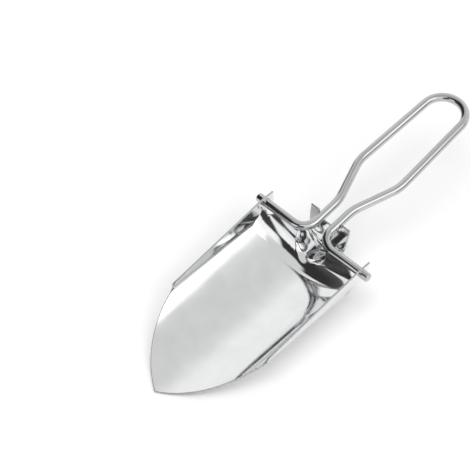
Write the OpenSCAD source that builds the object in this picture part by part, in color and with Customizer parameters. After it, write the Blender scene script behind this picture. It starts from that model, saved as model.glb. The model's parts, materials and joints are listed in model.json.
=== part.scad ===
// Folding camp trowel: a polished sheet blade and a bent wire handle.
// +X runs back along the handle, +Y to the left, +Z up. The origin is at the
// bottom centre of the overall box, with the blade lying on its back.

/* [Blade] */
// Thickness of the stainless sheet
sheet_t = 1.2; // [0.9:0.1:1.6]
// Distance from the hinge to the point of the blade
tip_reach = 127; // [106:1:153]
// Distance from the hinge to the front ends of the side flanges
flange_reach = 76.7; // [60:0.1:92]
// Inner radius of the hollow of the dish
dish_r = 60; // [50:1:75]
// Half width of the dish where the flange bends begin
dish_half_w = 34.8; // [29:0.1:42]
// Radius of each of the two arcs that meet at the point
nose_r = 76; // [65:1:95]
// How far the nose outline runs out onto the flange bends
nose_spread = 0.9; // [0.4:0.1:1]
// Inner radius of the flange bends
bend_r = 2.6; // [1.5:0.1:3.5]
// Outward lean of the flanges from upright, in degrees
flange_lean = 4; // [0:0.5:8]
// Height of the flanges at their front ends
flange_front_z = 16; // [14.5:0.1:18]
// Radius of the rounded front corner of each flange
flange_corner_r = 2.6; // [1:0.1:2.8]

/* [Heel] */
// Distance from the front face of the heel wall to the hinge axis
wall_set = 1; // [0.5:0.1:2]
// Radius of the sweep from the dish up into the heel wall
heel_r = 12; // [8:0.5:14]
// Gap between the top of the heel wall and the wire above it
wall_gap = 0.6; // [0.4:0.1:2]
// Height of the lip of the throat above the ground
throat_lip_z = 4.3; // [3.5:0.1:6]
// Width of the mouth beyond the necks, on each side
mouth_flare = 2.6; // [0:0.1:4]
// Inner radius of the throat floor where it meets the lock plate
throat_rear_r = 18; // [16:0.5:24]
// Radius of the relief holes at the corners of the heel wall
relief_r = 1.7; // [1:0.1:2.2]

/* [Lock plate] */
// Distance from the hinge axis to the front face of the plate, at the ground
plate_x = 11.8; // [9:0.1:16]
// Half width of the plate
plate_half_w = 14.7; // [12:0.1:15.8]
// Backward lean of the plate from upright, in degrees
plate_lean = 6.4; // [0:0.1:10]
// Height of the tips of the plate
plate_top_z = 26.2; // [24.5:0.1:30]
// Gap beside each neck of the handle in the notch and in the throat
neck_gap = 0.25; // [0.15:0.05:0.6]
// Gap under the necks where they come down in the notch
seat_gap = 0.3; // [0.2:0.05:0.6]

/* [Hinge] */
// Height of the hinge axis above the ground
hinge_z = 22; // [20.5:0.1:26]
// Running clearance of the wire in the ear holes, on the radius
hole_gap = 0.08; // [0.05:0.01:0.1]
// Metal left above the ear holes
ear_rim = 1.2; // [1:0.1:3]
// Distance from the hinge axis to the front end of the level ear top
ear_front = 3.4; // [3:0.1:8]
// Distance from the hinge axis to the rear edge of the ears
ear_rear = 6.3; // [5:0.1:9]
// Depth of the ears below the hinge axis, behind the heel wall
ear_drop = 7; // [4.5:0.1:7]

/* [Handle] */
// Diameter of the handle wire
wire_d = 5.4; // [4.5:0.1:6]
// Length of each bare wire end outside its ear
stub_len = 5.4; // [3:0.1:8]
// Radius of the rounded rims of the wire ends
stub_rim_r = 1.2; // [0.4:0.1:2]
// Distance of each neck from the middle line, to the centre of the wire
neck_v = 5.45; // [4.5:0.05:6.2]
// Bend radius from the side runs into the necks, to the centre of the wire
neck_bend_r = 9.5; // [7:0.5:12]
// Distance from the hinge to the place where the necks start to spread
flare_start = 28.6; // [22:0.1:34]
// Distance from the hinge to the widest place of the loop
flare_end = 57.8; // [48:0.1:70]
// Half width of the loop at its widest place, to the centre of the wire
loop_half_w = 15.6; // [13:0.1:19]
// Bend radius at both ends of the flare
flare_bend_r = 14.6; // [8:0.2:20]
// Radius of the round end of the loop, to the centre of the wire
loop_end_r = 13.6; // [11:0.1:15.4]
// Distance from the hinge to the centre of the round end
loop_end_u = 115.4; // [96:0.1:139]
// Upward slope of the open handle, in degrees
handle_rise = 6.5; // [3:0.1:10]

/* [Hidden] */
$fn = 96;
far = 400;
wire_r = wire_d / 2;
hole_r = wire_r + hole_gap;

// Sheet and wire thin a hair in their bends, and what is straight laps over them
bend_thinning = 0.01;
lap = 0.05;
lap_angle = 0.1;

// Origin: the middle of the length from the point to the loop end
loop_tip_x = (loop_end_u + loop_end_r) * cos(handle_rise) + wire_r;
hinge_x = (tip_reach - loop_tip_x) / 2;

// Cross-section of the blade, seen along X
dish_z = dish_r + sheet_t;
dish_angle = asin(dish_half_w / dish_r);
bend_y = (dish_r - bend_r) * sin(dish_angle);
bend_z = dish_z - (dish_r - bend_r) * cos(dish_angle);
ear_top_z = hinge_z + hole_r + ear_rim;
flange_len = (ear_top_z - bend_z) / cos(flange_lean) + sheet_t;
ear_out_y = bend_y + (bend_r + sheet_t) * cos(flange_lean)
    + (hinge_z - bend_z) * tan(flange_lean);

// Nose: each arc runs from the point to the front of one flange
nose_half_w = dish_half_w + nose_spread;
nose_len = tip_reach - flange_reach;
nose_chord = sqrt(nose_len * nose_len + nose_half_w * nose_half_w);
nose_rise = sqrt(nose_r * nose_r - nose_chord * nose_chord / 4);
nose_cx = -tip_reach + nose_len / 2 + nose_rise * nose_half_w / nose_chord;
nose_cy = nose_half_w / 2 - nose_rise * nose_len / nose_chord;

// Heel wall and throat
wall_back = sheet_t - wall_set;
wall_top_z = hinge_z - wire_r - wall_gap;
mouth_r = neck_v + wire_r + neck_gap + mouth_flare;
mouth_z = throat_lip_z + mouth_r;
throat_rear_z = sheet_t + throat_rear_r;
throat_side_z = throat_rear_z - sqrt(throat_rear_r * throat_rear_r
    - pow(plate_half_w - sheet_t, 2));
relief_y = (dish_z - wall_top_z) * tan(dish_angle) + relief_r;

// Notch of the lock plate, just under the necks at the front face
notch_half_w = neck_v + wire_r + neck_gap;
seat_x = plate_x + (hinge_z - wire_r) * tan(plate_lean);
notch_z = hinge_z + seat_x * tan(handle_rise) - wire_r / cos(handle_rise) - seat_gap;

// Handle path, in its own plane: u runs back, v to the side
stub_v = ear_out_y + stub_len;
bend_v = neck_v + neck_bend_r;
flare_angle = atan((loop_half_w - neck_v) / (flare_end - flare_start));
side_u = loop_end_u - flare_end;
side_reach = sqrt(side_u * side_u + loop_half_w * loop_half_w);
side_angle = atan(loop_half_w / side_u) - asin(loop_end_r / side_reach);
flare_tangent = flare_bend_r * tan(flare_angle / 2);
side_tangent = flare_bend_r * tan((flare_angle + side_angle) / 2);

// Sets a shape drawn in (y, z) upright and runs it along X
module along_x(from, to) {
    translate([from, 0, 0])
        rotate([90, 0, 90])
            linear_extrude(height = to - from) children();
}

// Sets a shape drawn in (x, z) upright and runs it across the blade
module across_y(half) {
    translate([0, half, 0])
        rotate([90, 0, 0])
            linear_extrude(height = 2 * half) children();
}

// Wedge of the cross-section between the two flange bends
module dish_wedge() {
    half = dish_angle + lap_angle;
    translate([0, dish_z])
        polygon([
            [0, 0],
            [-far * sin(half), -far * cos(half)],
            [far * sin(half), -far * cos(half)]
        ]);
}

// One bend and the flange above it, as a cross-section
module flange_section() {
    sweep = 90 - flange_lean - dish_angle;
    translate([bend_y, bend_z]) {
        intersection() {
            difference() {
                circle(r = bend_r + sheet_t - bend_thinning);
                circle(r = bend_r + bend_thinning);
            }
            rotate(dish_angle - 90)
                polygon([[0, 0], [far, 0], [far, far * tan(sweep / 2)],
                    [far * cos(sweep), far * sin(sweep)]]);
        }
        rotate(-flange_lean)
            translate([bend_r, -lap]) square([sheet_t, flange_len]);
    }
}

// Side outline of the flanges and ears, with a rounded front corner
module flange_outline() {
    slope = atan((ear_top_z - flange_front_z) / (flange_reach - ear_front));
    corner_x = flange_corner_r - flange_reach;
    corner_z = flange_front_z + flange_corner_r * tan(slope)
        - flange_corner_r / cos(slope);
    difference() {
        union() {
            polygon([
                [-flange_reach, -sheet_t],
                [-flange_reach, corner_z],
                [corner_x - flange_corner_r * sin(slope),
                    corner_z + flange_corner_r * cos(slope)],
                [-ear_front, ear_top_z],
                [ear_rear, ear_top_z],
                [ear_rear, hinge_z - ear_drop],
                [wall_back, hinge_z - ear_drop],
                [wall_back, -sheet_t]
            ]);
            translate([corner_x, corner_z]) circle(r = flange_corner_r);
        }
        translate([0, hinge_z]) circle(r = hole_r);
    }
}

// Plan outline of the nose: two arcs that meet at the point
module nose_outline() {
    intersection() {
        translate([nose_cx, nose_cy]) circle(r = nose_r, $fn = 180);
        translate([nose_cx, -nose_cy]) circle(r = nose_r, $fn = 180);
        translate([-tip_reach, -nose_half_w]) square([nose_len, 2 * nose_half_w]);
    }
}

// Solid of revolution about the axis of the dish: a drum with a rounded rear
module drum(r, rear, corner) {
    translate([0, 0, dish_z])
        rotate([0, 90, 0])
            rotate_extrude($fn = 180) {
                translate([0, -far]) square([r, far + rear - corner]);
                translate([0, -far]) square([r - corner, far + rear]);
                translate([r - corner, rear - corner]) circle(r = corner);
            }
}

// Inside of the cross-section, to the middle of the flange sheet
module heel_envelope() {
    mid_r = bend_r + sheet_t / 2;
    foot = [bend_y + mid_r * cos(flange_lean), bend_z - mid_r * sin(flange_lean)];
    head = foot + flange_len * [sin(flange_lean), cos(flange_lean)];
    dish_wedge();
    for (side = [-1, 1]) translate([side * bend_y, bend_z]) circle(r = mid_r);
    polygon([
        [-bend_y, bend_z], [-foot[0], foot[1]], [-head[0], head[1]],
        head, foot, [bend_y, bend_z]
    ]);
}

// Straight throat through the heel wall, then a half funnel to the lock plate
module throat(grow) {
    translate([-heel_r / 2, 0, mouth_z])
        rotate([0, 90, 0])
            cylinder(r = mouth_r + grow, h = heel_r / 2 + wall_back);
    hull() {
        along_x(wall_back - 0.01, wall_back)
            translate([0, mouth_z]) circle(r = mouth_r + grow, $fn = 64);
        along_x(plate_x, plate_x + 0.01)
            translate([0, throat_rear_z]) circle(r = throat_rear_r + grow, $fn = 64);
    }
}

// Side outline under which the throat is kept: level at the wall, then falling
module throat_outline() {
    polygon([
        [-heel_r, 0], [-heel_r, wall_top_z], [wall_back, wall_top_z],
        [plate_x + sheet_t, throat_side_z + sheet_t], [plate_x + sheet_t, 0]
    ]);
}

// Upright plate with a wide notch for the necks and a rounded foot
module lock_plate() {
    difference() {
        intersection() {
            translate([plate_x + sheet_t, 0, 0])
                rotate([0, plate_lean, 0])
                    along_x(-sheet_t, 0) {
                        intersection() {
                            translate([-plate_half_w, 0])
                                square([2 * plate_half_w, far]);
                            union() {
                                translate([0, throat_rear_z])
                                    circle(r = throat_rear_r + sheet_t);
                                translate([-plate_half_w, throat_rear_z])
                                    square([2 * plate_half_w, far]);
                            }
                        }
                    }
            across_y(plate_half_w) square([far, plate_top_z]);
        }
        translate([0, -notch_half_w, notch_z]) cube([far, 2 * notch_half_w, far]);
    }
}

// Dish, heel wall and throat, all but the flanges
module dish_and_heel() {
    difference() {
        union() {
            intersection() {
                drum(dish_r + sheet_t, wall_back, heel_r + sheet_t);
                along_x(-tip_reach, wall_back) heel_envelope();
                union() {
                    across_y(far)
                        translate([-flange_reach, -sheet_t])
                            square([flange_reach + wall_back, wall_top_z + sheet_t]);
                    linear_extrude(height = dish_z) nose_outline();
                }
            }
            intersection() {
                throat(sheet_t);
                across_y(plate_half_w) throat_outline();
            }
        }
        drum(dish_r, -wall_set, heel_r);
        throat(0);
        translate([-heel_r / 2, -mouth_r, mouth_z])
            cube([heel_r / 2 + wall_back, 2 * mouth_r, far]);
        for (side = [-1, 1])
            translate([-heel_r, side * relief_y, wall_top_z])
                rotate([0, 90, 0]) cylinder(r = relief_r, h = 2 * heel_r);
    }
}

module blade() {
    color("silver") translate([hinge_x, 0, 0]) {
        dish_and_heel();
        lock_plate();
        for (side = [0, 1]) mirror([0, side, 0]) {
            intersection() {
                along_x(-tip_reach, ear_rear) flange_section();
                union() {
                    across_y(far) flange_outline();
                    linear_extrude(height = dish_z) nose_outline();
                }
            }
        }
    }
}

// Straight wire between two points of the handle plane
module run(from, to) {
    step = to - from;
    translate([from[0], from[1], 0])
        rotate([0, 0, atan2(step[1], step[0])])
            translate([-lap, 0, 0])
                rotate([0, 90, 0]) cylinder(r = wire_r, h = norm(step) + 2 * lap);
}

// Wire bent about a centre, from one direction through a sweep
module bend(centre, r, start, sweep) {
    translate([centre[0], centre[1], 0])
        rotate([0, 0, start])
            rotate_extrude(angle = sweep)
                translate([r, 0]) circle(r = wire_r - bend_thinning);
}

// Side run through the ear, with a rounded rim at its bare end
module side_run() {
    translate([0, bend_v - lap, 0])
        rotate([-90, 0, 0])
            rotate_extrude() {
                length = stub_v - bend_v + lap;
                square([wire_r, length - stub_rim_r]);
                square([wire_r - stub_rim_r, length]);
                translate([wire_r - stub_rim_r, length - stub_rim_r])
                    circle(r = stub_rim_r, $fn = 32);
            }
}

// One half of the handle, from the bare end to the start of the loop end
module half_handle() {
    flare_dir = [cos(flare_angle), sin(flare_angle)];
    side_dir = [cos(side_angle), -sin(side_angle)];
    side_normal = [sin(side_angle), cos(side_angle)];
    neck_end = [flare_start - flare_tangent, neck_v];
    flare_foot = [flare_start, neck_v] + flare_tangent * flare_dir;
    flare_head = [flare_end, loop_half_w] - side_tangent * flare_dir;
    side_start = [flare_end, loop_half_w] + side_tangent * side_dir;
    side_end = [loop_end_u, 0] + loop_end_r * side_normal;
    side_run();
    bend([neck_bend_r, bend_v], neck_bend_r, 180, 90);
    run([neck_bend_r, neck_v], neck_end);
    bend(neck_end + [0, flare_bend_r], flare_bend_r, -90, flare_angle);
    run(flare_foot, flare_head);
    bend(side_start - flare_bend_r * side_normal, flare_bend_r,
        90 - side_angle, flare_angle + side_angle);
    run(side_start, side_end);
}

module handle() {
    color("gainsboro")
        translate([hinge_x, 0, hinge_z])
            rotate([0, -handle_rise, 0]) {
                for (side = [0, 1]) mirror([0, side, 0]) half_handle();
                bend([loop_end_u, 0], loop_end_r, side_angle - 90, 180 - 2 * side_angle);
            }
}

blade();
handle();
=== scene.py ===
"""Camp shovel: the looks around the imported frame. Metres, +X along the handle, +Z up."""
import json
import math

import bmesh
import bpy
from mathutils import Matrix, Vector


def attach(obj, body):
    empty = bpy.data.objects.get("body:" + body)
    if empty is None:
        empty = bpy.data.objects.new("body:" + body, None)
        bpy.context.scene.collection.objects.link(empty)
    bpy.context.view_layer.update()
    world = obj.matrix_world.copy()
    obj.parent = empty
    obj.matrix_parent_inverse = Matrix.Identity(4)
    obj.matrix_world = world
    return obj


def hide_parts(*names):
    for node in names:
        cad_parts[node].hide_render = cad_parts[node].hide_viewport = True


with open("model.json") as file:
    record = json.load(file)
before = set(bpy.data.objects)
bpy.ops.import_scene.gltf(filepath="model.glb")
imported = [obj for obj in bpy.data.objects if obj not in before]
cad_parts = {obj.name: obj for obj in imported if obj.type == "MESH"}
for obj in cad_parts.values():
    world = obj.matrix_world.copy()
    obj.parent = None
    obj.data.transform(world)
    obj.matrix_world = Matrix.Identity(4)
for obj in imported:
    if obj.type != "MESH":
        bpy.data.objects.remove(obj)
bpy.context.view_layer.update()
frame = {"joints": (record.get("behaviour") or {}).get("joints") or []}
hinge = Vector(frame["joints"][0]["pos_m"])

# Camera: a long lens above the front right of the blade
LENS_MM = 117.3
SENSOR_MM = 36.0
CAMERA_RISE = math.radians(52.0)
CAMERA_TURN = math.radians(45.84)
CAMERA_DISTANCE = 0.894
HINGE_RIGHT = 0.0444
HINGE_UP = -0.0137
CLIP_NEAR = 0.01
CLIP_FAR = 100


def add_camera():
    """The photograph's view: the hinge sits a little right of and below the middle."""
    right = Vector((math.cos(CAMERA_TURN), -math.sin(CAMERA_TURN), 0))
    away = Vector((math.sin(CAMERA_TURN), math.cos(CAMERA_TURN), 0))
    up = away * math.sin(CAMERA_RISE) + Vector((0, 0, math.cos(CAMERA_RISE)))
    ahead = away * math.cos(CAMERA_RISE) - Vector((0, 0, math.sin(CAMERA_RISE)))
    foot = Vector((hinge.x, 0, SHEET))
    data = bpy.data.cameras.new("camera")
    data.lens = LENS_MM
    data.sensor_width = SENSOR_MM
    camera = bpy.data.objects.new("camera", data)
    bpy.context.collection.objects.link(camera)
    turn = Matrix((right, up, -ahead)).transposed().to_4x4()
    place = foot - right * HINGE_RIGHT - up * HINGE_UP - ahead * CAMERA_DISTANCE
    camera.matrix_world = Matrix.Translation(place) @ turn
    data.clip_start = CLIP_NEAR
    data.clip_end = CLIP_FAR
    bpy.context.scene.camera = camera


# Sizes of the two pieces, in metres, the same as in the CAD part. Lengths along X
# count from the hinge axis, heights from the ground.
SHEET = 0.0012
TIP_REACH = 0.127
FLANGE_REACH = 0.0767
DISH_R = 0.060
DISH_HALF_W = 0.0348
NOSE_R = 0.076
NOSE_HALF_W = 0.0357
BEND_R = 0.0026
LEAN = math.radians(4)
FLANGE_FRONT_Z = 0.016
FLANGE_CORNER_R = 0.0026
EAR_TOP_Z = 0.02598
EAR_FRONT = -0.0034
EAR_REAR = 0.0063
EAR_LOW_Z = 0.015
HOLE_R = 0.00278
WALL_X = -0.001
HEEL_R = 0.012
WALL_TOP_Z = 0.0187
MOUTH_R = 0.0110
MOUTH_Z = 0.0153
NOTCH_HALF_W = 0.0084
THROAT_R = 0.018
PLATE_X = 0.0118
PLATE_HALF_W = 0.0147
PLATE_LEAN = math.radians(6.4)
PLATE_TOP_Z = 0.0262
NOTCH_Z = 0.02059
RELIEF_R = 0.0017
RELIEF_Y = 0.03196

# Softer shapes that only the looks have: the lip of the mouth, the foot of the
# lock plate, the sheared rim and the flares of the wire
LIP = 0.0040
FOOT = 0.0045
RIM_ROUND = 0.0003
FLARE_BEND_R = 0.026

# The wire
WIRE_R = 0.0027
STUB_V = 0.04301
STUB_RIM = 0.0012
NECK_V = 0.00545
NECK_BEND_R = 0.0095
FLARE_START = 0.0286
FLARE_END = 0.0578
LOOP_HALF_W = 0.0156
LOOP_END_R = 0.0136
LOOP_END_U = 0.1154
HANDLE_RISE = math.radians(6.5)

# Fineness of the meshes: how many steps each stretch has
MOUTH_COLUMNS = 12
LIP_COLUMNS = 6
SIDE_COLUMNS = 18
HEEL_ROWS = 24
CORNER_COLUMNS = 12
BEND_STEPS = 8
RUN_STEPS = 40
FRONT_STEPS = 7
HEEL_STEPS = 8
EAR_STEPS = 8
FLANGE_STEPS = 10
TURN_STEPS = 7
FUNNEL_STEPS = 10
PLATE_STEPS = 8
TAB_STEPS = 5
STUB_RIM_STEPS = 5
WIRE_SIDES = 48
ARC_STEP = math.radians(3)
RIM_TURNS = (math.pi / 4, math.pi / 2, 3 * math.pi / 4)

# How the mesh builders measure
NEAR = 1e-6
WELD_PER_METRE = 1e7
HALVINGS = 40
HEEL_REACH = 0.03
CORNER_REACH = 0.4
RUN_CROWDING = 1.4
LEAST_STEP = 0.0006
LEAST_LIP_SHARE = 0.1
LEAST_TANGENT = 0.0001
LEAST_TURN = 0.0003
HOLE_MARGIN = 0.0001
CREASE = math.radians(50)

# Values that follow from the sizes
DISH_Z = DISH_R + SHEET
ALPHA = math.asin(DISH_HALF_W / DISH_R)
BEND_Y = (DISH_R - BEND_R) * math.sin(ALPHA)
BEND_Z = DISH_Z - (DISH_R - BEND_R) * math.cos(ALPHA)
BEND_END = math.pi / 2 - LEAN
HEEL_X = WALL_X - HEEL_R
WALL_BACK = WALL_X + SHEET
BEND_LINE = (BEND_Y + BEND_R * math.sin(BEND_END), BEND_Z - BEND_R * math.cos(BEND_END))


def spread(start, end, count):
    """Evenly spaced values, both ends included."""
    return [start + (end - start) * i / count for i in range(count + 1)]


def solve(inside, low, high):
    """The value between low, where inside() holds, and high, where it ends."""
    for _ in range(HALVINGS):
        middle = (low + high) / 2
        if inside(middle):
            low = middle
        else:
            high = middle
    return low


class Sheet:
    """Collects patches of quads for one sheet and welds them where they meet."""

    def __init__(self):
        self.points = []
        self.faces = []
        self.seen = {}

    def vertex(self, p):
        """Number of the point at p, the same for points that coincide."""
        key = tuple(round(c * WELD_PER_METRE) for c in p)
        if key not in self.seen:
            self.seen[key] = len(self.points)
            self.points.append(tuple(p))
        return self.seen[key]

    def patch(self, rows):
        """Quads between rows of points; a side that shrinks to nothing is left out."""
        for low, high in zip(rows, rows[1:]):
            for a, b, c, d in zip(low, low[1:], high[1:], high):
                ring = []
                for p in (a, b, c, d):
                    v = self.vertex(p)
                    if v not in ring:
                        ring.append(v)
                if len(ring) > 2:
                    self.faces.append(ring)


def nose_x(y):
    """Front outline of the dish: an arc from the point to the flange front."""
    length = TIP_REACH - FLANGE_REACH
    chord = math.hypot(length, NOSE_HALF_W)
    rise = math.sqrt(NOSE_R ** 2 - chord ** 2 / 4)
    cx = -TIP_REACH + length / 2 + rise * NOSE_HALF_W / chord
    cy = NOSE_HALF_W / 2 - rise * length / chord
    return cx - math.sqrt(NOSE_R ** 2 - (abs(y) - cy) ** 2)


def heel_profile(q):
    """(x, radius) at a length q up the heel: the sweep, then the wall."""
    if q < HEEL_R * math.pi / 2:
        turn = q / HEEL_R
        return HEEL_X + HEEL_R * math.sin(turn), DISH_R - HEEL_R * (1 - math.cos(turn))
    return WALL_X, DISH_R - HEEL_R - (q - HEEL_R * math.pi / 2)


def heel_point(phi, q):
    """Point of the heel at an angle phi round the dish and a length q up from it."""
    x, r = heel_profile(q)
    return x, r * math.sin(phi), DISH_Z - r * math.cos(phi)


def in_mouth(y, z):
    """Is a point of the wall inside the U-shaped mouth?"""
    if z > MOUTH_Z:
        return abs(y) < MOUTH_R
    return math.hypot(y, z - MOUTH_Z) < MOUTH_R


def on_wall(y, z):
    """Is a point of the heel still sheet: below its top, clear of mouth and relief?"""
    relief = math.hypot(abs(y) - RELIEF_Y, z - WALL_TOP_Z) < RELIEF_R
    return z < WALL_TOP_Z and not in_mouth(y, z) and not relief


def heel_end(phi_at):
    """Length up the heel where a column of it ends."""
    return solve(lambda q: on_wall(*heel_point(phi_at(q), q)[1:]), 0, HEEL_REACH)


def past_flange(y, z):
    """Is a point of the cross-section outside the middle of the flange sheet?"""
    half = SHEET / 2
    if z < BEND_LINE[1]:
        return y > BEND_Y and math.hypot(y - BEND_Y, z - BEND_Z) > BEND_R + half
    return y > BEND_LINE[0] + (z - BEND_LINE[1]) * math.tan(LEAN) + half


def corner_phi(q):
    """Angle at which the heel runs into the flange."""
    def inside(phi):
        return not past_flange(*heel_point(phi, q)[1:])
    return solve(inside, ALPHA, ALPHA + CORNER_REACH)


def flange_top(x):
    """Height of the flange at x: its rounded front corner, then its sloped edge."""
    slope = (EAR_TOP_Z - FLANGE_FRONT_Z) / (FLANGE_REACH + EAR_FRONT)
    tilt = math.atan(slope)
    cx = FLANGE_CORNER_R - FLANGE_REACH
    cz = FLANGE_FRONT_Z + FLANGE_CORNER_R * (slope - 1 / math.cos(tilt))
    if x < cx - FLANGE_CORNER_R * math.sin(tilt):
        return cz + math.sqrt(max(0, FLANGE_CORNER_R ** 2 - (cx - x) ** 2))
    return min(EAR_TOP_Z, FLANGE_FRONT_Z + slope * (x + FLANGE_REACH))


def plate_front(z):
    """Place along X of the front of the leaning lock plate, at a height z."""
    lift = SHEET * math.sin(PLATE_LEAN)
    foot = PLATE_X + SHEET * (1 - math.cos(PLATE_LEAN))
    return foot + (z - lift) * math.tan(PLATE_LEAN)


def rounded(a, b, c, reach_in, reach_out, count):
    """Points of a smooth turn at b, between the straight lines from a and to c."""
    start = b - (b - a).normalized() * reach_in
    end = b + (c - b).normalized() * reach_out
    return [start.lerp(b, t).lerp(b.lerp(end, t), t) for t in spread(0, 1, count)]


def long_places():
    """Places along a flange: its front corner, its run to the heel, and its ear."""
    first = -FLANGE_REACH
    run = [HEEL_X + (first - HEEL_X) * t ** RUN_CROWDING for t in spread(1, 0, RUN_STEPS)]
    corner = [first + FLANGE_CORNER_R * (1 - math.cos(a)) for a in
              spread(math.radians(20), math.radians(80), FRONT_STEPS)]
    run = corner + [x for x in run if x > corner[-1] + LEAST_STEP]
    return [first] + run + spread(HEEL_X, EAR_FRONT, HEEL_STEPS)[1:] + [WALL_X, WALL_BACK]


def blade_half():
    """Patches of points for the left half of the sheet, from the hinge axis."""
    patches = []
    edge = math.atan(MOUTH_R / (DISH_Z - MOUTH_Z))
    top = math.atan(MOUTH_R / (DISH_Z - WALL_TOP_Z))
    inner = spread(0, edge, MOUTH_COLUMNS) + spread(edge, top, LIP_COLUMNS)[1:]
    columns = inner + spread(top, ALPHA, SIDE_COLUMNS)[1:]
    places = long_places()
    steps = [(x - places[0]) / (HEEL_X - places[0]) for x in places if x < HEEL_X + NEAR]
    dish = []
    for phi in columns:
        y, z = DISH_R * math.sin(phi), DISH_Z - DISH_R * math.cos(phi)
        front = nose_x(y)
        dish.append([(front + (HEEL_X - front) * t, y, z) for t in steps])
    patches.append(dish)
    heel = []
    for phi in columns:
        end = heel_end(lambda q: phi) - lip_reach(phi, edge, top)
        heel.append([heel_point(phi, end * t) for t in spread(0, 1, HEEL_ROWS)])
    patches.append(heel)
    corner = []
    for share in spread(0, 1, CORNER_COLUMNS):
        def phi_at(q):
            return ALPHA + (corner_phi(q) - ALPHA) * share
        end = heel_end(phi_at)
        climb = [end * t for t in spread(0, 1, HEEL_ROWS)]
        corner.append([heel_point(phi_at(q), q) for q in climb])
    patches.append(corner)
    bend = []
    for turn in spread(ALPHA, BEND_END, BEND_STEPS):
        y, z = BEND_Y + BEND_R * math.sin(turn), BEND_Z - BEND_R * math.cos(turn)
        front = nose_x(y) if y < NOSE_HALF_W else -FLANGE_REACH
        row = [(front + (HEEL_X - front) * t, y, z) for t in steps]
        bend.append(row + [(x, y, z) for x in places[len(steps):]])
    patches.append(bend)
    patches.append(flange_rows(places))
    patches.extend(throat_rows(inner, edge, top))
    return patches


def lip_reach(phi, edge, top):
    """How far from the mouth its rounded lip begins, on a column of the heel."""
    if phi > top - NEAR:
        return 0.0
    return LIP * min(1, (top - phi) / (top - edge) + LEAST_LIP_SHARE)


def flange_rows(places):
    """The flat flange above its bend, and the ear behind the heel wall."""
    rows = []
    for share in spread(0, 1, FLANGE_STEPS):
        row = []
        for x in places + spread(WALL_BACK, EAR_REAR, EAR_STEPS)[1:]:
            low = BEND_LINE[1] if x < WALL_BACK - NEAR else EAR_LOW_Z
            if x < WALL_BACK + NEAR and share == 0:
                low = BEND_LINE[1]
            z = low + (max(low, flange_top(x)) - low) * share
            row.append((x, BEND_LINE[0] + (z - BEND_LINE[1]) * math.tan(LEAN), z))
        rows.append(row)
    return rows


def throat_rows(inner, edge, top):
    """The lip of the mouth, the throat behind it and the upright plate."""
    arc = math.asin((PLATE_HALF_W - SHEET) / THROAT_R)
    straight = WALL_TOP_Z - MOUTH_Z
    whole = MOUTH_R * math.pi / 2 + straight
    tops = []
    feet = []
    ends = []
    for phi in inner:
        end = heel_end(lambda q: phi)
        x, y, z = heel_point(phi, end)
        around = MOUTH_R * math.pi / 2 + z - MOUTH_Z
        if z < MOUTH_Z:
            around = MOUTH_R * math.atan2(y, MOUTH_Z - z)
        turn = around / whole * arc
        foot_z = SHEET + THROAT_R * (1 - math.cos(turn))
        feet.append(Vector((plate_front(foot_z), THROAT_R * math.sin(turn), foot_z)))
        ends.append((phi, end, Vector((x, y, z))))
    cut = min(range(len(feet)), key=lambda i: abs(feet[i].y - NOTCH_HALF_W))
    for i, foot in enumerate(feet):
        wide = foot.y * NOTCH_HALF_W / feet[cut].y
        if i > cut:
            share = (foot.y - feet[cut].y) / (feet[-1].y - feet[cut].y)
            wide = NOTCH_HALF_W + (PLATE_HALF_W - NOTCH_HALF_W) * share
        tops.append(Vector((plate_front(NOTCH_Z), wide, NOTCH_Z)))
    rows = []
    for (phi, end, lip), foot, tip in zip(ends, feet, tops):
        reach = lip_reach(phi, edge, top)
        before = Vector(heel_point(phi, end - max(reach, LEAST_TANGENT)))
        ahead = max(reach, LEAST_TURN)
        start = rounded(before, lip, foot, (lip - before).length, ahead, TURN_STEPS)
        finish = rounded(lip, foot, tip, FOOT, FOOT, TURN_STEPS)
        if reach == 0:
            start = [lip] + [start[-1]] * TURN_STEPS
        middle = [start[-1].lerp(finish[0], t) for t in spread(0, 1, FUNNEL_STEPS)][1:-1]
        rise = [finish[-1].lerp(tip, t) for t in spread(0, 1, PLATE_STEPS)][1:]
        rows.append(start + middle + finish + rise)
    tab = []
    for z in spread(NOTCH_Z, PLATE_TOP_Z, TAB_STEPS):
        tab.append([(plate_front(z), p.y, z) for p in tops[cut:]])
    return [rows, tab]


def smooth_piece(name, points, faces):
    """A new object with smooth faces that all look the same way out."""
    mesh = bpy.data.meshes.new(name)
    mesh.from_pydata(points, [], faces)
    piece = bpy.data.objects.new(name, mesh)
    bpy.context.collection.objects.link(piece)
    bm = bmesh.new()
    bm.from_mesh(mesh)
    bmesh.ops.recalc_face_normals(bm, faces=bm.faces)
    for face in bm.faces:
        face.smooth = True
    bm.to_mesh(mesh)
    bm.free()
    return piece


def make_blade():
    """The whole sheet: both halves welded, thickened and drilled."""
    sheet = Sheet()
    for rows in blade_half():
        sheet.patch([[(x + hinge.x, y, z) for x, y, z in row] for row in rows])
        sheet.patch([[(x + hinge.x, -y, z) for x, y, z in row] for row in rows])
    blade = smooth_piece("blade_sheet", sheet.points, sheet.faces)
    bottom = Vector((HEEL_X - DISH_R, 0, SHEET))
    middle = min(blade.data.polygons, key=lambda face: (face.center - bottom).length)
    if middle.normal.z < 0:
        blade.data.flip_normals()
    thicken(blade.data)
    drill_ears(blade)
    return blade


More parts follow.
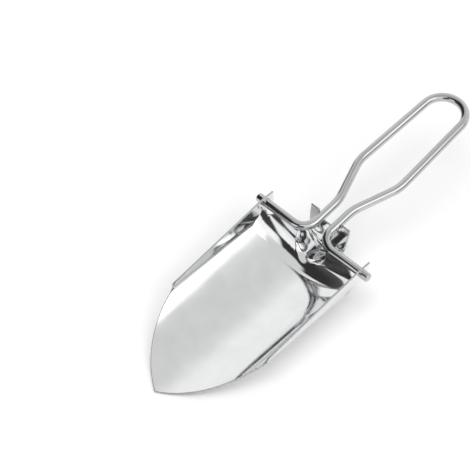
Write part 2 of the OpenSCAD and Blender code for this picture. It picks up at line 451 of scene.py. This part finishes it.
def drill_ears(blade):
    """Cut the hinge holes through both ears, with crisp edges."""
    bm = bmesh.new()
    turn = Matrix.Translation(hinge) @ Matrix.Rotation(math.pi / 2, 4, "X")
    bmesh.ops.create_cone(bm, cap_ends=True, segments=WIRE_SIDES, radius1=HOLE_R,
                          radius2=HOLE_R, depth=2 * STUB_V, matrix=turn)
    tool = bpy.data.objects.new("ear_drill", bpy.data.meshes.new("ear_drill"))
    bm.to_mesh(tool.data)
    bm.free()
    bpy.context.collection.objects.link(tool)
    cut = blade.modifiers.new("ear_holes", "BOOLEAN")
    cut.operation = "DIFFERENCE"
    cut.solver = "EXACT"
    cut.object = tool
    graph = bpy.context.evaluated_depsgraph_get()
    done = bpy.data.meshes.new_from_object(blade.evaluated_get(graph))
    blade.modifiers.clear()
    blade.data = done
    bpy.data.objects.remove(tool)
    bm = bmesh.new()
    bm.from_mesh(blade.data)
    for edge in bm.edges:
        middle = (edge.verts[0].co + edge.verts[1].co) / 2 - hinge
        near_hole = math.hypot(middle.x, middle.z) < HOLE_R + HOLE_MARGIN
        if near_hole and edge.calc_face_angle(0) > CREASE:
            edge.smooth = False
    bm.to_mesh(blade.data)
    bm.free()


def thicken(mesh):
    """Give the polished sheet its thickness, away from its face, with rounded rims."""
    bm = bmesh.new()
    bm.from_mesh(mesh)
    bm.normal_update()
    rim_edges = [e for e in bm.edges if e.is_boundary]
    outward = {}
    for e in rim_edges:
        face = e.link_faces[0]
        run = e.verts[1].co - e.verts[0].co
        out = run.cross(face.normal).normalized()
        middle = (e.verts[0].co + e.verts[1].co) / 2
        if out.dot(face.calc_center_median() - middle) > 0:
            out.negate()
        for v in e.verts:
            outward[v] = outward.get(v, Vector()) + out
    normals = {v: v.normal.copy() for v in bm.verts}
    for v, out in outward.items():
        out.normalize()
        v.co -= out * RIM_ROUND
    faces = list(bm.faces)
    back = {v: bm.verts.new(v.co - normals[v] * SHEET) for v in list(normals)}
    rings = {}
    for v, out in outward.items():
        ring = [v]
        for t in RIM_TURNS:
            drop = normals[v] * SHEET / 2 * (math.cos(t) - 1)
            ring.append(bm.verts.new(v.co + drop + out * RIM_ROUND * math.sin(t)))
        rings[v] = ring + [back[v]]
    for face in faces:
        bm.faces.new([back[v] for v in reversed(face.verts)])
    for e in rim_edges:
        a, b = e.link_loops[0].vert, e.link_loops[0].link_loop_next.vert
        for k in range(len(RIM_TURNS) + 1):
            rim = bm.faces.new((rings[b][k], rings[a][k], rings[a][k + 1], rings[b][k + 1]))
            rim.material_index = 1
        e.smooth = False
        bm.edges.get((back[a], back[b])).smooth = False
    for face in bm.faces:
        face.smooth = True
    bm.normal_update()
    bm.to_mesh(mesh)
    bm.free()


def rounded_path(corners):
    """Points along straight runs joined by arcs; corners are ((u, v), radius)."""
    path = [Vector(corners[0][0])]
    for (before, _), (point, radius), (after, _) in zip(corners, corners[1:], corners[2:]):
        point = Vector(point)
        come = (point - Vector(before)).normalized()
        go = (Vector(after) - point).normalized()
        turn = math.atan2(come.cross(go), come.dot(go))
        reach = radius * math.tan(abs(turn) / 2)
        arm = Vector((come.y, -come.x)) * math.copysign(radius, turn)
        centre = point - come * reach - arm
        for t in spread(0, turn, max(2, round(abs(turn) / ARC_STEP))):
            c, d = math.cos(t), math.sin(t)
            path.append(centre + Vector((arm.x * c - arm.y * d, arm.x * d + arm.y * c)))
    path.append(Vector(corners[-1][0]))
    return path


def make_handle():
    """The wire, swept along its path, with its drawing direction kept for the finish."""
    side_angle = math.atan2(LOOP_HALF_W, LOOP_END_U - FLARE_END)
    side_angle -= math.asin(LOOP_END_R / math.hypot(LOOP_HALF_W, LOOP_END_U - FLARE_END))
    leave = (LOOP_END_U + LOOP_END_R * math.sin(side_angle), LOOP_END_R * math.cos(side_angle))
    half = rounded_path([((0, STUB_V), 0), ((0, NECK_V), NECK_BEND_R),
                         ((FLARE_START, NECK_V), FLARE_BEND_R),
                         ((FLARE_END, LOOP_HALF_W), FLARE_BEND_R), (leave, 0)])
    edge = math.pi / 2 - side_angle
    for angle in spread(edge, 0, round(edge / ARC_STEP))[1:]:
        half.append(Vector((LOOP_END_U + LOOP_END_R * math.cos(angle),
                            LOOP_END_R * math.sin(angle))))
    path = half + [Vector((p.x, -p.y)) for p in reversed(half[:-1])]
    rings = []
    for i, p in enumerate(path):
        along = (path[min(i + 1, len(path) - 1)] - path[max(i - 1, 0)]).normalized()
        rings.append((p, along, WIRE_R))
    rims = []
    for t in spread(0, math.pi / 2, STUB_RIM_STEPS):
        rims.append((STUB_RIM * (1 - math.sin(t)), WIRE_R - STUB_RIM * (1 - math.cos(t))))
    first = [(path[0] - Vector((0, back)), rings[0][1], r) for back, r in reversed(rims)]
    last = [(path[-1] + Vector((0, back)), rings[-1][1], r) for back, r in rims]
    rings = first + rings[1:-1] + last
    out = Vector((math.cos(HANDLE_RISE), 0, math.sin(HANDLE_RISE)))
    normal = Vector((-math.sin(HANDLE_RISE), 0, math.cos(HANDLE_RISE)))
    points = []
    drawn = []
    reach = 0.0
    previous = rings[0][0]
    for p, along, r in rings:
        reach += (p - previous).length
        previous = p
        side = out * -along.y + Vector((0, along.x, 0))
        for a in spread(0, math.tau, WIRE_SIDES)[:-1]:
            place = hinge + out * p.x + Vector((0, p.y, 0))
            points.append(place + (normal * math.cos(a) + side * math.sin(a)) * r)
            drawn.append(Vector((reach, math.cos(a) * r, math.sin(a) * r)))
    n = WIRE_SIDES
    faces = [tuple(range(n)), tuple(range(len(points) - n, len(points)))]
    for i in range(len(rings) - 1):
        for k in range(n):
            m = (k + 1) % n
            faces.append((i * n + k, i * n + m, (i + 1) * n + m, (i + 1) * n + k))
    wire = smooth_piece("handle_wire", points, faces)
    layer = wire.data.attributes.new("drawn", "FLOAT_VECTOR", "POINT")
    for item, value in zip(layer.data, drawn):
        item.vector = value
    return wire


# Most of a noise's values lie between these two
NOISE_LOW = 0.3
NOISE_HIGH = 0.7


class Metal:
    """A metal material and the few node calls that its surface detail needs."""

    def __init__(self, name):
        self.material = bpy.data.materials.new(name)
        self.material.use_nodes = True
        self.tree = self.material.node_tree
        self.shader = self.tree.nodes["Principled BSDF"]
        self.shader.inputs["Metallic"].default_value = 1.0

    def noise(self, vector, stretch, detail):
        """Noise with so many waves per metre along each axis."""
        mapping = self.tree.nodes.new("ShaderNodeMapping")
        mapping.inputs["Scale"].default_value = stretch
        self.tree.links.new(vector, mapping.inputs["Vector"])
        node = self.tree.nodes.new("ShaderNodeTexNoise")
        node.inputs["Scale"].default_value = 1.0
        node.inputs["Detail"].default_value = detail
        self.tree.links.new(mapping.outputs[0], node.inputs["Vector"])
        return node.outputs["Fac"]

    def ramp(self, value, low, high, socket):
        """Send the noise, spread over low to high, to a socket of the shader."""
        node = self.tree.nodes.new("ShaderNodeMapRange")
        node.inputs["From Min"].default_value = NOISE_LOW
        node.inputs["From Max"].default_value = NOISE_HIGH
        node.inputs["To Min"].default_value = low
        node.inputs["To Max"].default_value = high
        self.tree.links.new(value, node.inputs["Value"])
        self.tree.links.new(node.outputs[0], self.shader.inputs[socket])

    def tint(self, value, dark, light):
        """Colour the metal between two greys."""
        node = self.tree.nodes.new("ShaderNodeValToRGB")
        node.color_ramp.elements[0].position = NOISE_LOW
        node.color_ramp.elements[1].position = NOISE_HIGH
        node.color_ramp.elements[0].color = (*dark, 1)
        node.color_ramp.elements[1].color = (*light, 1)
        self.tree.links.new(value, node.inputs["Fac"])
        self.tree.links.new(node.outputs["Color"], self.shader.inputs["Base Color"])

    def bump(self, value, height, strength):
        """Fine relief, height metres deep."""
        node = self.tree.nodes.new("ShaderNodeBump")
        node.inputs["Strength"].default_value = strength
        node.inputs["Distance"].default_value = height
        self.tree.links.new(value, node.inputs["Height"])
        self.tree.links.new(node.outputs[0], self.shader.inputs["Normal"])

    def place(self):
        return self.tree.nodes.new("ShaderNodeTexCoord").outputs["Object"]

    def attribute(self, name):
        node = self.tree.nodes.new("ShaderNodeAttribute")
        node.attribute_name = name
        return node.outputs["Vector"]


def polished_steel():
    """Buffed sheet: a mirror with a faint haze and hair-fine buffing lines."""
    metal = Metal("blade_polished_steel")
    where = metal.place()
    haze = metal.noise(where, stretch=(90, 90, 90), detail=4)
    lines = metal.noise(where, stretch=(60, 2600, 2600), detail=3)
    metal.ramp(haze, low=0.05, high=0.11, socket="Roughness")
    metal.tint(haze, dark=(0.83, 0.835, 0.84), light=(0.89, 0.895, 0.90))
    metal.bump(lines, height=0.00001, strength=0.05)
    return metal.material


def cut_steel():
    """Sheared rims of the sheet: duller and darker, with marks across them."""
    metal = Metal("blade_cut_edge")
    marks = metal.noise(metal.place(), stretch=(2500, 2500, 300), detail=3)
    metal.ramp(marks, low=0.18, high=0.38, socket="Roughness")
    metal.tint(marks, dark=(0.36, 0.365, 0.37), light=(0.62, 0.625, 0.63))
    metal.bump(marks, height=0.00002, strength=0.4)
    return metal.material


def drawn_steel_painted_shade():
    """Drawn and polished wire: fine lines that follow it round every bend. Its base colour is
    kept much darker than the blade's as painted shade, for the dimmer surroundings the wire
    mirrors.
    """
    metal = Metal("wire_polished_steel_painted_shade")
    where = metal.attribute("drawn")
    haze = metal.noise(where, stretch=(70, 160, 160), detail=4)
    lines = metal.noise(where, stretch=(45, 2400, 2400), detail=3)
    metal.ramp(haze, low=0.07, high=0.17, socket="Roughness")
    # Painted shade: both greys sit far below the blade's steel so the wire mirrors darker; the
    # drawn lines vary the tone between them
    metal.tint(lines, dark=(0.46, 0.465, 0.47), light=(0.64, 0.645, 0.65))
    metal.bump(lines, height=0.00002, strength=0.25)
    return metal.material


# The studio
FLOOR_HALF = 20
FLOOR_ROUGHNESS = 0.9
PALE = (0.95, 0.95, 0.95, 1)


def add_floor():
    """A wide, plain, pale floor."""
    mesh = bpy.data.meshes.new("floor")
    s = FLOOR_HALF
    mesh.from_pydata([(-s, -s, 0), (s, -s, 0), (s, s, 0), (-s, s, 0)], [], [(0, 1, 2, 3)])
    floor = bpy.data.objects.new("floor", mesh)
    bpy.context.collection.objects.link(floor)
    material = bpy.data.materials.new("floor")
    material.use_nodes = True
    shader = material.node_tree.nodes["Principled BSDF"]
    shader.inputs["Base Color"].default_value = PALE
    shader.inputs["Roughness"].default_value = FLOOR_ROUGHNESS
    mesh.materials.append(material)


class Sky:
    """A few node calls for a sky made of soft-edged zones, with angles in degrees."""

    def __init__(self, tree):
        self.tree = tree
        direction = tree.nodes.new("ShaderNodeTexCoord").outputs["Generated"]
        flat = tree.nodes.new("ShaderNodeVectorMath")
        flat.operation = "MULTIPLY"
        tree.links.new(direction, flat.inputs[0])
        flat.inputs[1].default_value = (1, 1, 0)
        unit = tree.nodes.new("ShaderNodeVectorMath")
        unit.operation = "NORMALIZE"
        tree.links.new(flat.outputs[0], unit.inputs[0])
        self.heading = unit.outputs[0]
        split = tree.nodes.new("ShaderNodeSeparateXYZ")
        tree.links.new(direction, split.inputs[0])
        self.height = split.outputs["Z"]

    def ramp(self, value, start, end):
        """Zero at start, one at end, and smooth between them."""
        node = self.tree.nodes.new("ShaderNodeMapRange")
        node.interpolation_type = "SMOOTHSTEP"
        self.tree.links.new(value, node.inputs["Value"])
        node.inputs["From Min"].default_value = start
        node.inputs["From Max"].default_value = end
        return node.outputs["Result"]

    def both(self, a, b):
        """Where two zones overlap."""
        node = self.tree.nodes.new("ShaderNodeMath")
        node.operation = "MULTIPLY"
        self.tree.links.new(a, node.inputs[0])
        self.tree.links.new(b, node.inputs[1])
        return node.outputs[0]

    def above(self, degrees, soft):
        """Everything higher than so many degrees, with an edge soft degrees wide."""
        low = math.sin(math.radians(degrees - soft / 2))
        high = math.sin(math.radians(degrees + soft / 2))
        return self.ramp(self.height, low, high)

    def below(self, degrees, soft):
        """Everything lower than so many degrees."""
        low = math.sin(math.radians(degrees - soft / 2))
        high = math.sin(math.radians(degrees + soft / 2))
        return self.ramp(self.height, high, low)

    def sector(self, azimuth, half_width, soft):
        """Everything within half_width to either side of an azimuth from +X."""
        turn = math.radians(azimuth)
        node = self.tree.nodes.new("ShaderNodeVectorMath")
        node.operation = "DOT_PRODUCT"
        self.tree.links.new(self.heading, node.inputs[0])
        node.inputs[1].default_value = (math.cos(turn), math.sin(turn), 0)
        low = math.cos(math.radians(half_width + soft / 2))
        high = math.cos(math.radians(half_width - soft / 2))
        return self.ramp(node.outputs["Value"], low, high)

    def blend(self, base, level, mask):
        """Lay one brightness over the sky so far, inside a zone."""
        node = self.tree.nodes.new("ShaderNodeMix")
        node.data_type = "FLOAT"
        self.tree.links.new(mask, node.inputs[0])
        if isinstance(base, float):
            node.inputs[2].default_value = base
        else:
            self.tree.links.new(base, node.inputs[2])
        node.inputs[3].default_value = level
        return node.outputs[0]


# Brightness of each zone of the sky
CEILING = 0.70
WALLS = 0.95
NEAR_SIDE = 1.05
LAMP = 2.0
NEAR_FOOT = 0.06
LEFT = 0.035
LEFT_FOOT = 0.075
CORNER = 0.05
WINDOW = 1.0


def add_world():
    """The studio that the steel mirrors: bright on the near side, dark on the left."""
    world = bpy.data.worlds.new("studio")
    bpy.context.scene.world = world
    world.use_nodes = True
    tree = world.node_tree
    sky = Sky(tree)
    light = sky.blend(CEILING, WALLS, sky.below(53, soft=24))
    near = sky.both(sky.sector(-107, half_width=54, soft=14), sky.below(64, soft=16))
    light = sky.blend(light, NEAR_SIDE, near)
    band = sky.both(sky.above(36, soft=10), sky.below(60, soft=14))
    light = sky.blend(light, LAMP, sky.both(sky.sector(-80, half_width=28, soft=14), band))
    foot = sky.both(sky.sector(-66, half_width=22, soft=8), sky.below(15.5, soft=2))
    light = sky.blend(light, NEAR_FOOT, foot)
    left = sky.both(sky.sector(133, half_width=57, soft=7), sky.below(63, soft=8))
    light = sky.blend(light, LEFT, left)
    light = sky.blend(light, LEFT_FOOT, sky.both(left, sky.below(24, soft=26)))
    corner = sky.both(sky.sector(200, half_width=17, soft=8), sky.below(36, soft=8))
    light = sky.blend(light, CORNER, corner)
    window = sky.both(sky.sector(173, half_width=14, soft=8), sky.below(28, soft=7))
    light = sky.blend(light, WINDOW, window)
    studio = tree.nodes["Background"]
    tree.links.new(light, studio.inputs["Color"])
    studio.inputs["Strength"].default_value = 1.0
    # Seen past the edge of the floor, the studio is plain and pale
    backdrop = tree.nodes.new("ShaderNodeBackground")
    backdrop.inputs["Color"].default_value = PALE
    seen = tree.nodes.new("ShaderNodeMixShader")
    path = tree.nodes.new("ShaderNodeLightPath")
    tree.links.new(path.outputs["Is Camera Ray"], seen.inputs[0])
    tree.links.new(studio.outputs[0], seen.inputs[1])
    tree.links.new(backdrop.outputs[0], seen.inputs[2])
    tree.links.new(seen.outputs[0], tree.nodes["World Output"].inputs["Surface"])


def add_lamp(name, place, size, power):
    """A soft square lamp aimed at the origin, which the steel does not mirror."""
    data = bpy.data.lights.new(name, "AREA")
    data.shape = "SQUARE"
    data.size = size
    data.energy = power
    lamp = bpy.data.objects.new(name, data)
    lamp.location = place
    lamp.rotation_mode = "QUATERNION"
    lamp.rotation_quaternion = Vector(place).to_track_quat("Z", "Y")
    lamp.visible_glossy = False
    bpy.context.collection.objects.link(lamp)


add_camera()
add_floor()
add_world()
add_lamp("soft_lamp", place=(-0.3, 0.5, 2.0), size=2.2, power=24)
blade = make_blade()
blade.data.materials.append(polished_steel())
blade.data.materials.append(cut_steel())
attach(blade, "blade")
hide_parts("blade")
handle = make_handle()
handle.data.materials.append(drawn_steel_painted_shade())
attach(handle, "handle")
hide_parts("handle")
bpy.context.scene.view_settings.view_transform = "Standard"
